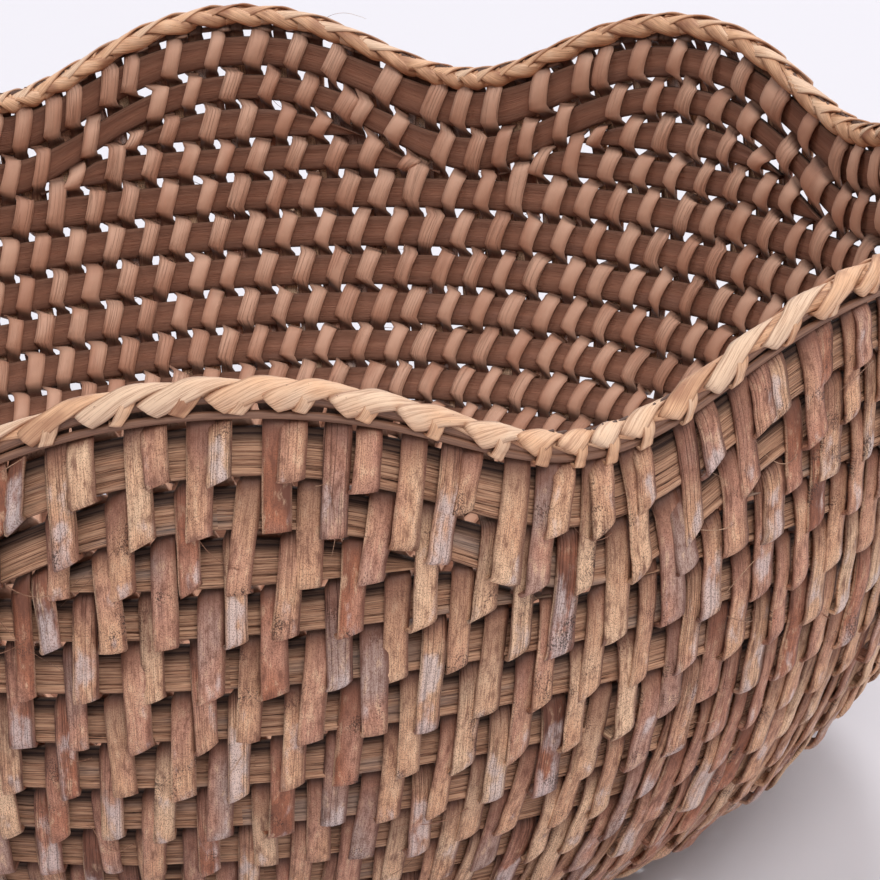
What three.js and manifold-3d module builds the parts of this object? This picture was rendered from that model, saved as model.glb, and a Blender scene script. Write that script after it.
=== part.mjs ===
// Rattan bread basket: a round bowl woven from thin strips over flat core rows, with an
// eight-lobed rim bound by a plaited lashing. Millimetres, +Z up, origin on the table
// under the middle of the bowl, with one lobe facing -Y.
import * as THREE from 'three';
import { mergeVertices } from 'three/addons/utils/BufferGeometryUtils.js';
import Module from 'manifold-3d';

const wasm = await Module();
wasm.setup();

// Bowl
const rimRadius = 160; // middle of the wall at the rim
const rimHeight = 135; // mean height of the rim's top edge
const curveBelowTable = 14; // the wall's curve would close this far below the table
const bowlExponent = 2.4; // 2 is an ellipse, more is squarer
const wallFoot = 2.4; // height at which the wall meets the floor

// Rim lobes
const lobeCount = 8;
const lobeRise = 8.6; // height of a lobe over the mean rim
const lobeFlat = 0.8; // flattens the tops and narrows the dips
const lobeSwing = 1.4; // a lobe leans out by this much

// Core rows
const rowPitch = 10.4;
const coreThickness = 2;
const rowGap = 2.2; // space between two cores, where the strips cross
const topRowReach = 16.8; // from the rim's top edge to the foot of the first row
const secondRowPitch = 9;
const upperShortReach = 2.5; // foot of the upper short row, below the mean foot of the second row
const lowerShortPitch = 9;
const upperShortSpan = 10.2; // degrees to each side of a lobe's middle
const lowerShortSpan = 15;
const foldWidth = 1.3; // degrees that the short rows' core takes to fold back
const foldLap = 0.4; // degrees of the fold that lie on the upper short row
const foldThickness = 1;

// Woven strips, of which a share is modelled
const stripCount = 30;
const stripWidth = 3.8;
const stripThickness = 0.7;
const crossing = 0.3; // share of a row's height that a strip takes to change faces
const seat = 0.3; // clearance between pieces that touch

// Rim
const braidHeight = 5.8;
const braidWidth = 6.6;
const braidRise = 0.5; // height of the plait's back over the rim's top edge
const braidScallop = 1.1; // how far each fold hangs below the gaps between folds
const rodDiameter = 1.8;

// Floor
const floorThickness = 3.2;
const floorGroove = 1; // depth of the grooves between the floor's rows
const floorEdge = 1; // rounding of the floor's lower edge

// Fineness of the mesh
const fineSteps = 4 * stripCount;
const midSteps = 2 * stripCount;
const lowSteps = stripCount;
const midRows = 3; // how many level rows have the middle fineness
const profileStep = 0.5; // step of the walk down the wall

const bowlDepth = rimHeight + curveBelowTable;
const shortRowFoot = topRowReach + secondRowPitch + upperShortReach; // below the mean rim
const flatRowTop = shortRowFoot + lowerShortPitch; // the level rows start here

const degrees = Math.PI / 180;
const lobeAngle = 360 / lobeCount;

const stripColour = 0xb08d70;
const coreColour = 0x9a7553;
const braidColour = 0xd9c09c;
const rodColour = 0x8a6548;

// The wall's curve from the rim down, as points at equal steps along it
function wallCurve() {
  const points = [];
  let depth = 0;
  let radius = rimRadius;
  const radiusAt = (d) => rimRadius * (1 - (d / bowlDepth) ** bowlExponent) ** (1 / bowlExponent);
  while (depth < rimHeight - wallFoot) {
    points.push([radius, rimHeight - depth]);
    const slope = (radius - radiusAt(depth + profileStep / 4)) / (profileStep / 4);
    depth += profileStep / Math.hypot(1, slope);
    radius = radiusAt(depth);
  }
  return points;
}

const curve = wallCurve();
const wallLength = (curve.length - 1) * profileStep;

// Radius, height and outward normal of the wall at a distance along it below the mean rim
function wallAt(distance) {
  const place = distance / profileStep;
  const index = Math.min(Math.max(Math.floor(place), 0), curve.length - 2);
  const [r0, z0] = curve[index];
  const [r1, z1] = curve[index + 1];
  const share = place - index;
  const length = Math.hypot(r1 - r0, z1 - z0);
  return {
    radius: r0 + (r1 - r0) * share,
    height: z0 + (z1 - z0) * share,
    outX: (z0 - z1) / length,
    outZ: (r1 - r0) / length,
  };
}

// How far the lobed rim stands over the mean rim at an angle
function lobeWave(angle) {
  const phase = lobeCount * angle * degrees;
  return lobeRise * Math.cos(phase) - lobeFlat * Math.cos(2 * phase);
}

// A point of the wall: the angle from the front, the distance below the mean rim and the
// distance out from the middle of the wall
function wallPoint(angle, distance, out) {
  const at = wallAt(distance);
  const lean = Math.max(0, 1 - distance / flatRowTop);
  const swing = lobeSwing * lean * Math.cos(lobeCount * angle * degrees);
  const radius = at.radius + out * at.outX + swing;
  const turn = angle * degrees;
  return [radius * Math.sin(turn), -radius * Math.cos(turn), at.height + out * at.outZ];
}

// Lines between the rows, as distances below the mean rim
const rimLine = (angle) => -lobeWave(angle);
const braidFoot = (angle) => rimLine(angle) + braidHeight - braidRise;
const rodTop = (angle) => braidFoot(angle) + seat;
const rodFoot = (angle) => rodTop(angle) + rodDiameter;
const firstFoot = (angle) => rimLine(angle) + topRowReach;
const secondFoot = (angle) => firstFoot(angle) + secondRowPitch;
const upperShortFoot = () => shortRowFoot;
const lowerShortTop = (angle) => Math.max(shortRowFoot, secondFoot(angle));
const flatTop = () => flatRowTop;

const flatRowCount = Math.round((wallLength - flatRowTop) / rowPitch);
const flatPitch = (wallLength - flatRowTop) / flatRowCount;

// Angle from the middle of the nearest lobe
function fromLobe(angle) {
  return angle - lobeAngle * Math.round(angle / lobeAngle);
}

// The rows that a strip crosses at an angle, from the rim down, as [top, foot] lines
function rowsAt(angle) {
  const side = Math.abs(fromLobe(angle));
  const halfStrip = stripWidth / 2 / rimRadius / degrees;
  const rows = [
    { top: rodTop, foot: rodFoot, thickness: rodDiameter, set: 'rim' },
    { top: (a) => rodFoot(a) + rowGap / 2, foot: firstFoot, thickness: coreThickness, set: 'rim' },
    { top: firstFoot, foot: secondFoot, thickness: coreThickness, set: 'rim' },
  ];
  if (side < upperShortSpan + halfStrip) {
    rows.push({ top: secondFoot, foot: upperShortFoot, thickness: coreThickness, set: 'short' });
  }
  if (side < lowerShortSpan + halfStrip) {
    rows.push({ top: lowerShortTop, foot: flatTop, thickness: coreThickness, set: 'short' });
  }
  for (let i = 0; i < flatRowCount; i++) {
    rows.push({
      top: () => flatRowTop + i * flatPitch,
      foot: () => flatRowTop + (i + 1) * flatPitch,
      thickness: coreThickness,
      set: 'flat',
      index: i,
    });
  }
  return rows;
}

// Skins a list of rings of points; the last ring joins the first, or both ends are capped
function loft(rings, closed) {
  const sides = rings[0].length;
  const positions = rings.flat(2);
  const faces = [];
  const spans = closed ? rings.length : rings.length - 1;
  for (let i = 0; i < spans; i++) {
    const a = i * sides;
    const b = ((i + 1) % rings.length) * sides;
    for (let j = 0; j < sides; j++) {
      const k = (j + 1) % sides;
      faces.push(a + j, b + k, b + j, a + j, a + k, b + k);
    }
  }
  if (!closed) {
    const last = (rings.length - 1) * sides;
    for (let j = 1; j < sides - 1; j++) {
      faces.push(0, j + 1, j, last, last + j, last + j + 1);
    }
  }
  const geometry = new THREE.BufferGeometry();
  geometry.setAttribute('position', new THREE.Float32BufferAttribute(positions, 3));
  geometry.setIndex(faces);
  geometry.computeVertexNormals();
  return geometry;
}

// A closed mesh as a solid for joining, and back
function toSolid(geometry) {
  const bare = geometry.clone();
  bare.deleteAttribute('normal');
  const merged = mergeVertices(bare);
  return new wasm.Manifold(
    new wasm.Mesh({
      numProp: 3,
      vertProperties: merged.attributes.position.array,
      triVerts: new Uint32Array(merged.index.array),
    }),
  );
}

function toGeometry(solid) {
  const mesh = solid.getMesh();
  const geometry = new THREE.BufferGeometry();
  geometry.setAttribute('position', new THREE.BufferAttribute(mesh.vertProperties, 3));
  geometry.setIndex(new THREE.BufferAttribute(mesh.triVerts, 1));
  geometry.computeVertexNormals();
  return geometry;
}

function materialOf(colour, roughness) {
  return new THREE.MeshStandardMaterial({ color: colour, roughness, metalness: 0 });
}

const basket = new THREE.Group();

function addPiece(name, geometry, material) {
  const mesh = new THREE.Mesh(geometry, material);
  mesh.name = name;
  basket.add(mesh);
}

// The lens-shaped section of a core between two lines, at one angle
function coreSection(angle, top, foot) {
  const upper = top + rowGap / 2;
  const lower = foot - rowGap / 2;
  const middle = (upper + lower) / 2;
  return [
    wallPoint(angle, upper, 0),
    wallPoint(angle, middle, coreThickness / 2),
    wallPoint(angle, lower, 0),
    wallPoint(angle, middle, -coreThickness / 2),
  ];
}

function coreRing(row, steps) {
  const rings = [];
  for (let i = 0; i < steps; i++) {
    const angle = (360 / steps) * i;
    rings.push(coreSection(angle, row.top(angle), row.foot(angle)));
  }
  return loft(rings, true);
}

function coreArc(middle, span, top, foot) {
  const rings = [];
  const step = 360 / fineSteps;
  const count = Math.max(2, Math.round((2 * span) / step));
  for (let i = 0; i <= count; i++) {
    const angle = middle - span + (2 * span * i) / count;
    rings.push(coreSection(angle, top(angle), foot(angle)));
  }
  return loft(rings, false);
}

// The two short rows of a lobe are one core that folds back at its right-hand end
function shortRows(middle) {
  const upper = coreArc(middle, upperShortSpan, secondFoot, upperShortFoot);
  const lower = coreArc(middle, lowerShortSpan, lowerShortTop, flatTop);
  const foldStart = middle + upperShortSpan - foldLap;
  const rings = [foldStart, foldStart + foldWidth].map((angle) => {
    const top = (secondFoot(angle) + rowGap / 2 + shortRowFoot) / 2;
    const foot = (lowerShortTop(angle) + flatRowTop) / 2;
    return [
      wallPoint(angle, top, foldThickness / 2),
      wallPoint(angle, foot, foldThickness / 2),
      wallPoint(angle, foot, -foldThickness / 2),
      wallPoint(angle, top, -foldThickness / 2),
    ];
  });
  const fold = toSolid(loft(rings, false));
  return toGeometry(toSolid(upper).add(fold).add(toSolid(lower)));
}

// Whether a strip runs behind each row that it crosses: behind one row in three, a step
// further along on each strip, counted from the rim above the short rows and from the
// floor below them. A short row takes the turn that keeps the floats from running on.
function turnsOf(rows, number) {
  const behind = rows.map((row, i) => {
    const count = row.set === 'flat' ? row.index : i + flatRowCount;
    return row.set !== 'short' && (count + number) % 3 === 0;
  });
  rows.forEach((row, i) => {
    const clear = !behind[i - 1] && !behind[i + 1];
    const long = !behind[i - 2] || !behind[i + 2];
    if (row.set === 'short' && clear && long) behind[i] = true;
  });
  return behind;
}

// One strip, woven from the rim to the floor
function strip(number) {
  const angle = (360 / stripCount) * number;
  const rows = rowsAt(angle);
  const behind = turnsOf(rows, number);
  const halfAngle = stripWidth / 2 / rimRadius / degrees;
  const half = stripThickness / 2;
  const rings = [];
  const addRing = (line, out) => {
    const corner = (side, shift) => {
      const a = angle + (side * halfAngle * rimRadius) / wallAt(line(angle)).radius;
      return wallPoint(a, line(a), out + shift);
    };
    rings.push([corner(-1, -half), corner(1, -half), corner(1, half), corner(-1, half)]);
  };
  rows.forEach((row, i) => {
    const away = row.thickness / 2 + seat + half;
    const out = behind[i] ? -away : away;
    const share = (f) => (a) => row.top(a) + (row.foot(a) - row.top(a)) * f;
    const turnsBefore = i > 0 && behind[i - 1] !== behind[i];
    const turnsAfter = i < rows.length - 1 && behind[i + 1] !== behind[i];
    if (i === 0) addRing(rodTop, out);
    if (turnsBefore) addRing(share(crossing), out);
    if (i > 0 && !turnsBefore && !turnsAfter) addRing(share(1 / 2), out);
    if (turnsAfter || i === rows.length - 1) addRing(share(1 - crossing), out);
  });
  return loft(rings, false);
}

// The plait round the rim: a rope-like ring whose folds hang down in small scallops
function braid() {
  const rings = [];
  for (let i = 0; i < fineSteps; i++) {
    const angle = (360 / fineSteps) * i;
    const fold = i % 2 === 0 ? 0 : braidScallop;
    const top = rimLine(angle) - braidRise;
    const foot = braidFoot(angle) - fold;
    const middle = (top + foot) / 2;
    const shoulder = braidHeight / 4;
    rings.push([
      wallPoint(angle, top, 0),
      wallPoint(angle, middle - shoulder, braidWidth / 2 - fold / 2),
      wallPoint(angle, middle + shoulder, braidWidth / 2),
      wallPoint(angle, foot, 0),
      wallPoint(angle, middle + shoulder, -braidWidth / 2),
      wallPoint(angle, middle - shoulder, fold / 2 - braidWidth / 2),
    ]);
  }
  return loft(rings, true);
}

function rimRod() {
  const rings = [];
  for (let i = 0; i < midSteps; i++) {
    const angle = (360 / midSteps) * i;
    const middle = (rodTop(angle) + rodFoot(angle)) / 2;
    rings.push([
      wallPoint(angle, rodTop(angle), 0),
      wallPoint(angle, middle, rodDiameter / 2),
      wallPoint(angle, rodFoot(angle), 0),
      wallPoint(angle, middle, -rodDiameter / 2),
    ]);
  }
  return loft(rings, true);
}

// The floor: a flat disc whose rows show as rings on its upper side
function floorDisc() {
  const lowestRow = wallAt(wallLength - rowGap / 2);
  const edge = lowestRow.radius - seat;
  const rings = Math.round(edge / rowPitch);
  const pitch = edge / rings;
  const outline = [new THREE.Vector2(0, 0)];
  outline.push(new THREE.Vector2(edge - floorEdge, 0));
  outline.push(new THREE.Vector2(edge, floorEdge));
  outline.push(new THREE.Vector2(edge, lowestRow.height));
  for (let i = rings; i > 0; i--) {
    const groove = (i - 1) * pitch;
    outline.push(new THREE.Vector2(groove + pitch / 2, floorThickness));
    if (i > 1) outline.push(new THREE.Vector2(groove, floorThickness - floorGroove));
  }
  outline.push(new THREE.Vector2(0, floorThickness));
  const disc = new THREE.LatheGeometry(outline, lowSteps);
  disc.rotateX(Math.PI / 2);
  return disc;
}

const coreMaterial = materialOf(coreColour, 0.8);
const stripMaterial = materialOf(stripColour, 0.7);

addPiece('floor', floorDisc(), coreMaterial);

const [, firstRow, secondRow, ...lowerRows] = rowsAt(lobeAngle / 2);
addPiece('rim_row_1', coreRing(firstRow, fineSteps), coreMaterial);
addPiece('rim_row_2', coreRing(secondRow, fineSteps), coreMaterial);

for (let i = 0; i < lobeCount; i++) {
  addPiece('lobe_rows_' + (i + 1), shortRows(lobeAngle * i), coreMaterial);
}

lowerRows.forEach((row, i) => {
  const steps = i < midRows ? midSteps : lowSteps;
  addPiece('wall_row_' + (i + 1), coreRing(row, steps), coreMaterial);
});

for (let i = 0; i < stripCount; i++) {
  addPiece('strip_' + (i + 1), strip(i), stripMaterial);
}

addPiece('rim_rod', rimRod(), materialOf(rodColour, 0.6));
addPiece('rim_braid', braid(), materialOf(braidColour, 0.65));

export default basket;
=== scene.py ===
# A rattan bread basket: a round bowl with an eight-lobed rim, woven from split strips over
# flat core rows and bound by a plaited strap. Metres, +Z up, one lobe faces -Y.
import math
import random

import bmesh
import bpy
import numpy as np
from mathutils import Matrix, Vector


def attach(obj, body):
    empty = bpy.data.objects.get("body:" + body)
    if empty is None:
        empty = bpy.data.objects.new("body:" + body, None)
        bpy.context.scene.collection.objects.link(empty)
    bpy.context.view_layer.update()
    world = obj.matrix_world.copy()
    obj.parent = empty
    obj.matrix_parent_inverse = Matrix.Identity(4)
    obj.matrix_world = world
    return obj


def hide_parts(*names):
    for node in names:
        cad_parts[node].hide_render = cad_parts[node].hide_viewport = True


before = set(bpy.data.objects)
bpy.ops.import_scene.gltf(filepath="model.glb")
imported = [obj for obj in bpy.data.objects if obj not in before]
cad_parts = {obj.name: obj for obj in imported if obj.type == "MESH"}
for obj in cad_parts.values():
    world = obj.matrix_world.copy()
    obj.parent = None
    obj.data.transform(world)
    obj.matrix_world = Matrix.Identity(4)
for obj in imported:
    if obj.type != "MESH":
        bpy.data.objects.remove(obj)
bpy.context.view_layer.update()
print("stage: frame loaded")

mm = 0.001
tau = 2 * math.pi

# The bowl's shape, the same as in the solids
bowl = {
    "rimRadius": 160 * mm,
    "rimHeight": 135 * mm,
    "curveBelowTable": 14 * mm,
    "exponent": 2.4,
    "wallFoot": 2.4 * mm,
    "lobes": 8,
    "lobeRise": 8.6 * mm,
    "lobeFlat": 0.8 * mm,
    "lobeSwing": 1.4 * mm,
    "step": 0.5 * mm,  # between the points of the wall's curve
    "above": 20 * mm,  # how far the curve runs on over the rim
    "cornerSteps": 12,  # points to each side that round the corner at the floor
}

# Rows of the wall, measured down it; spans are to each side of a lobe's middle
lines = {
    "rowPitch": 10.4 * mm,
    "firstReach": 16.8 * mm,
    "secondPitch": 9 * mm,
    "secondDrop": 2.1 * mm,
    "upperShortReach": 2.5 * mm,
    "lowerShortPitch": 9 * mm,
    "upperShortSpan": math.radians(12),
    "lowerShortSpan": math.radians(19.5),
    "rodTop": 5.2 * mm,
    "rodRise": 2.0 * mm,
    "rodDiameter": 1.5 * mm,
    "leastRow": 3.4 * mm,  # a lower row doesn't count as one for the weave
}
lines["upperShortFoot"] = lines["firstReach"] + lines["secondPitch"] + lines["upperShortReach"]
lines["levelTop"] = lines["upperShortFoot"] + lines["lowerShortPitch"]


def makeWallCurve():
    depthAll = bowl["rimHeight"] + bowl["curveBelowTable"]
    power = bowl["exponent"]

    def radiusAt(depth):
        return bowl["rimRadius"] * (1 - (depth / depthAll) ** power) ** (1 / power)

    points = []
    depth = 0.0
    radius = bowl["rimRadius"]
    while depth < bowl["rimHeight"] - bowl["wallFoot"]:
        points.append((radius, bowl["rimHeight"] - depth))
        near = bowl["step"] / 4
        slope = (radius - radiusAt(depth + near)) / near
        depth += bowl["step"] / math.hypot(1, slope)
        radius = radiusAt(depth)
    return np.array(points)


wallPoints = makeWallCurve()
wallLength = (len(wallPoints) - 1) * bowl["step"]
levelCount = round((wallLength - lines["levelTop"]) / lines["rowPitch"])
levelPitch = (wallLength - lines["levelTop"]) / levelCount
floorRadius = wallPoints[-1][0]
floorCount = round(floorRadius / lines["rowPitch"])
floorPitch = floorRadius / floorCount


# The wall's curve runs on over the floor to its middle; its corner is rounded
def makeWholeCurve():
    above = np.array([(bowl["rimRadius"], bowl["rimHeight"] + bowl["above"])])
    inward = np.arange(bowl["step"], floorRadius, bowl["step"])
    floor = np.stack([floorRadius - inward, np.full_like(inward, bowl["wallFoot"])], axis=1)
    points = np.concatenate([wallPoints, floor])
    reach = bowl["cornerSteps"]
    rounded = points.copy()
    for i in range(len(wallPoints) - 2 * reach, len(wallPoints) + 2 * reach):
        rounded[i] = points[i - reach:i + reach + 1].mean(axis=0)
    rounded = np.concatenate([above, rounded])
    steps = np.arange(len(rounded)) * bowl["step"] - bowl["step"]
    steps[0] = -bowl["above"]
    ahead = np.gradient(rounded, steps, axis=0)
    length = np.hypot(ahead[:, 0], ahead[:, 1])
    return steps, rounded[:, 0], rounded[:, 1], -ahead[:, 1] / length, ahead[:, 0] / length


curveAt, curveRadius, curveHeight, curveOutX, curveOutZ = makeWholeCurve()


# A point of the wall: the angle from the front, the distance down the wall and the
# distance out from its middle
def onWall(angle, distance, out):
    radius = np.interp(distance, curveAt, curveRadius)
    height = np.interp(distance, curveAt, curveHeight)
    outX = np.interp(distance, curveAt, curveOutX)
    outZ = np.interp(distance, curveAt, curveOutZ)
    lean = np.maximum(0, 1 - distance / lines["levelTop"])
    radius = radius + out * outX + bowl["lobeSwing"] * lean * np.cos(bowl["lobes"] * angle)
    return np.stack([radius * np.sin(angle), -radius * np.cos(angle), height + out * outZ], axis=-1)


def radiusOf(distance):
    return np.interp(distance, curveAt, curveRadius)


def rimLine(angle):
    phase = bowl["lobes"] * angle
    return bowl["lobeFlat"] * np.cos(2 * phase) - bowl["lobeRise"] * np.cos(phase)


# How far an angle lies in a trough of the rim: 0 at the middle of a lobe, 1 in a trough
def troughAt(angle):
    return (1 - np.cos(bowl["lobes"] * angle)) / 2


# How far a strip or strap moves along the rim: they lie closer in the troughs
def closeUp(angle, amount, crowd):
    turn = bowl["lobes"] * angle
    return amount * (np.sin(turn) - crowd * np.sin(2 * turn))


# The lines between the rows, as distances down the wall at an angle
def rodTop(angle):
    return rimLine(angle) + lines["rodTop"] - lines["rodRise"] * troughAt(angle)


def rodFoot(angle):
    return rodTop(angle) + lines["rodDiameter"]


def firstFoot(angle):
    return rimLine(angle) + lines["firstReach"]


def secondFoot(angle):
    return firstFoot(angle) + lines["secondPitch"] + lines["secondDrop"] * troughAt(angle) ** 4


def upperShortFoot(angle):
    return lines["upperShortFoot"] + 0 * angle


def lowerShortTop(angle):
    return np.maximum(upperShortFoot(angle), secondFoot(angle))


def levelTop(angle):
    return lines["levelTop"] + 0 * angle


def levelLine(index):
    return lambda angle: lines["levelTop"] + index * levelPitch + 0 * angle


def floorLine(index):
    return lambda angle: wallLength + index * floorPitch + 0 * angle


# Smooth curve through values at keys that rise
def throughKeys(at, keys, values):
    keys = np.asarray(keys, dtype=float)
    values = np.asarray(values, dtype=float)
    slopes = np.gradient(values, keys)
    index = np.clip(np.searchsorted(keys, at, side="right") - 1, 0, len(keys) - 2)
    width = keys[index + 1] - keys[index]
    t = np.clip((at - keys[index]) / width, 0, 1)
    early = (1 + 2 * t) * (1 - t) ** 2
    earlySlope = t * (1 - t) ** 2
    late = t * t * (3 - 2 * t)
    lateSlope = t * t * (t - 1)
    return (early * values[index] + earlySlope * width * slopes[index]
            + late * values[index + 1] + lateSlope * width * slopes[index + 1])


def setPoints(mesh, points):
    mesh.vertices.foreach_set("co", np.asarray(points, dtype=np.float32).ravel())
    mesh.update()


def getPoints(mesh):
    flat = np.empty(len(mesh.vertices) * 3, dtype=np.float32)
    mesh.vertices.foreach_get("co", flat)
    return flat.reshape(-1, 3).astype(float)


def setNumber(mesh, name, values):
    layer = mesh.attributes.new(name, "FLOAT", "POINT")
    layer.data.foreach_set("value", np.asarray(values, dtype=np.float32))


def setWeaveMap(mesh, values):
    corner = np.empty(len(mesh.loops), dtype=np.int32)
    mesh.loops.foreach_get("vertex_index", corner)
    layer = mesh.uv_layers.new(name="weave")
    layer.data.foreach_set("uv", np.asarray(values, dtype=np.float32)[corner].ravel())


# Gathers many copies of a template, each with its own points and numbers, into one mesh
class Bundle:
    def __init__(self):
        self.bm = bmesh.new()
        self.points = []
        self.maps = []
        self.numbers = {}

    def add(self, template, points, weaveMap, **numbers):
        self.bm.from_mesh(template)
        self.points.append(points)
        self.maps.append(weaveMap)
        for name, value in numbers.items():
            self.numbers.setdefault(name, []).append(np.broadcast_to(value, len(points)))

    def build(self, name):
        mesh = bpy.data.meshes.new(name)
        self.bm.to_mesh(mesh)
        self.bm.free()
        setPoints(mesh, np.concatenate(self.points))
        setWeaveMap(mesh, np.concatenate(self.maps))
        for number, values in self.numbers.items():
            setNumber(mesh, number, np.concatenate(values))
        shadeSmooth(mesh)
        return mesh


# A flat grid to copy: the mesh, the place across (-1 to 1) and the step along of each point
def makeRibbon(acrossSteps, alongSteps):
    bm = bmesh.new()
    bmesh.ops.create_grid(bm, x_segments=acrossSteps, y_segments=alongSteps, size=1.0)
    mesh = bpy.data.meshes.new("ribbon")
    bm.to_mesh(mesh)
    bm.free()
    points = getPoints(mesh)
    step = np.rint((points[:, 1] + 1) / 2 * alongSteps).astype(int)
    return mesh, points[:, 0], step


def shadeSmooth(mesh):
    mesh.polygons.foreach_set("use_smooth", np.ones(len(mesh.polygons), dtype=bool))


ringRadius = 10  # rings are spun this large, then laid on the basket


# A ring or part of one, spun from a section of (height, distance out) points. Gives the mesh
# and the angle, the distance out and the height of each of its points.
def spinRing(name, section, turn, steps):
    whole = turn > tau - 0.001
    bm = bmesh.new()
    verts = [bm.verts.new((ringRadius + out, 0, height)) for height, out in section]
    edges = [bm.edges.new((verts[i], verts[(i + 1) % len(verts)])) for i in range(len(verts))]
    bmesh.ops.spin(bm, geom=verts + edges, cent=(0, 0, 0), axis=(0, 0, 1),
                   angle=turn, steps=steps, use_merge=whole)
    if not whole:
        rims = [edge for edge in bm.edges if edge.is_boundary]
        bmesh.ops.holes_fill(bm, edges=rims, sides=0)
    bmesh.ops.recalc_face_normals(bm, faces=bm.faces)
    mesh = bpy.data.meshes.new(name)
    bm.to_mesh(mesh)
    bm.free()
    shadeSmooth(mesh)
    points = getPoints(mesh)
    angle = np.arctan2(points[:, 1], points[:, 0])
    if not whole:
        angle = np.mod(angle, tau)
        angle = np.where(angle > tau - 0.001, 0, angle)
    return mesh, angle, np.hypot(points[:, 0], points[:, 1]) - ringRadius, points[:, 2]


def circleOf(count):
    return [(math.sin(tau * i / count), math.cos(tau * i / count)) for i in range(count)]


def addPiece(name, mesh, material, nodes):
    piece = bpy.data.objects.new(name, mesh)
    bpy.context.scene.collection.objects.link(piece)
    mesh.materials.clear()
    mesh.materials.append(material)
    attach(piece, "root")
    if nodes:
        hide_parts(*nodes)
    return piece


def solidify(piece, thickness):
    made = piece.modifiers.new("thickness", "SOLIDIFY")
    made.thickness = thickness
    made.offset = 0.0
    made.use_even_offset = False


# Node helpers for the materials
class Recipe:
    def __init__(self, name):
        self.material = bpy.data.materials.new(name)
        self.material.use_nodes = True
        self.tree = self.material.node_tree
        self.tree.nodes.clear()
        self.output = self.add("ShaderNodeOutputMaterial")
        self.shader = self.add("ShaderNodeBsdfPrincipled")
        self.join(self.shader.outputs["BSDF"], self.output.inputs["Surface"])

    def add(self, kind, **settings):
        node = self.tree.nodes.new(kind)
        for key, value in settings.items():
            setattr(node, key, value)
        return node

    def join(self, source, target):
        self.tree.links.new(source, target)

    def put(self, value, target):
        if hasattr(value, "is_output"):
            self.join(value, target)
        else:
            target.default_value = value

    def math(self, operation, a, b=0.0, clamp=False):
        node = self.add("ShaderNodeMath", operation=operation, use_clamp=clamp)
        self.put(a, node.inputs[0])
        self.put(b, node.inputs[1])
        return node.outputs[0]

    def spread(self, value, low, high, toLow=0.0, toHigh=1.0, smooth=True):
        node = self.add("ShaderNodeMapRange")
        node.interpolation_type = "SMOOTHSTEP" if smooth else "LINEAR"
        self.put(value, node.inputs["Value"])
        node.inputs["From Min"].default_value = low
        node.inputs["From Max"].default_value = high
        node.inputs["To Min"].default_value = toLow
        node.inputs["To Max"].default_value = toHigh
        return node.outputs["Result"]

    def number(self, name):
        node = self.add("ShaderNodeAttribute", attribute_name=name)
        return node.outputs["Fac"]

    def vector(self, x, y, z):
        node = self.add("ShaderNodeCombineXYZ")
        self.put(x, node.inputs[0])
        self.put(y, node.inputs[1])
        self.put(z, node.inputs[2])
        return node.outputs[0]

    def noise(self, vector, scale=1.0, detail=3.0, roughness=0.55):
        node = self.add("ShaderNodeTexNoise")
        self.join(vector, node.inputs["Vector"])
        node.inputs["Scale"].default_value = scale
        node.inputs["Detail"].default_value = detail
        node.inputs["Roughness"].default_value = roughness
        return node.outputs["Fac"]

    # noise stretched along a strip; the scales are those across it and along it
    def streaks(self, axes, scales, shift, detail=3.0, roughness=0.55):
        place = self.vector(self.math("MULTIPLY", axes[0], scales[0]),
                            self.math("MULTIPLY", axes[1], scales[1]), shift)
        return self.noise(place, 1.0, detail, roughness)

    def ramp(self, value, stops):
        node = self.add("ShaderNodeValToRGB")
        points = node.color_ramp.elements
        while len(points) < len(stops):
            points.new(0.5)
        for point, (position, colour) in zip(points, stops):
            point.position = position
            point.color = (*colour, 1)
        self.put(value, node.inputs["Fac"])
        return node.outputs["Color"]

    def mix(self, amount, a, b):
        node = self.add("ShaderNodeMix", data_type="RGBA", blend_type="MIX")
        self.put(amount, node.inputs["Factor"])
        self.put((*a, 1) if isinstance(a, tuple) else a, node.inputs["A"])
        self.put((*b, 1) if isinstance(b, tuple) else b, node.inputs["B"])
        return node.outputs["Result"]

    def bump(self, height, distance):
        node = self.add("ShaderNodeBump")
        node.inputs["Strength"].default_value = 1.0
        node.inputs["Distance"].default_value = distance
        self.join(height, node.inputs["Height"])
        self.join(node.outputs["Normal"], self.shader.inputs["Normal"])


# Weave coordinates in millimetres, across the strip and along it
def weaveAxes(recipe):
    uv = recipe.add("ShaderNodeUVMap", uv_map="weave")
    parts = recipe.add("ShaderNodeSeparateXYZ")
    recipe.join(uv.outputs["UV"], parts.inputs[0])
    across = recipe.math("MULTIPLY", parts.outputs[0], 1000.0)
    along = recipe.math("MULTIPLY", parts.outputs[1], 1000.0)
    return across, along


stripFinish = {
    "tan": (0.78, 0.435, 0.255),
    "straw": (0.93, 0.625, 0.400),
    "brown": (0.150, 0.052, 0.029),
    "rust": (0.48, 0.172, 0.088),
    "rose": (0.64, 0.320, 0.215),
    "grey": (0.52, 0.360, 0.300),
    # pale grey-white of worn skin, also used as a painted sheen on the floats' lower ends
    "wornSkinAndSheen": (0.76, 0.625, 0.590),
    "speck": (0.032, 0.016, 0.012),
    # colour of the inside faces, partly painted light: paler and greyer than the outside
    "inner": (0.95, 0.575, 0.405),
    "slowScale": (0.10, 0.045),
    "grainScale": (6.5, 0.16),
    "smearScale": (0.9, 0.32),
    "crackScale": (1.3, 0.03),
    "patchScale": (0.35, 0.16),
}


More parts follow.
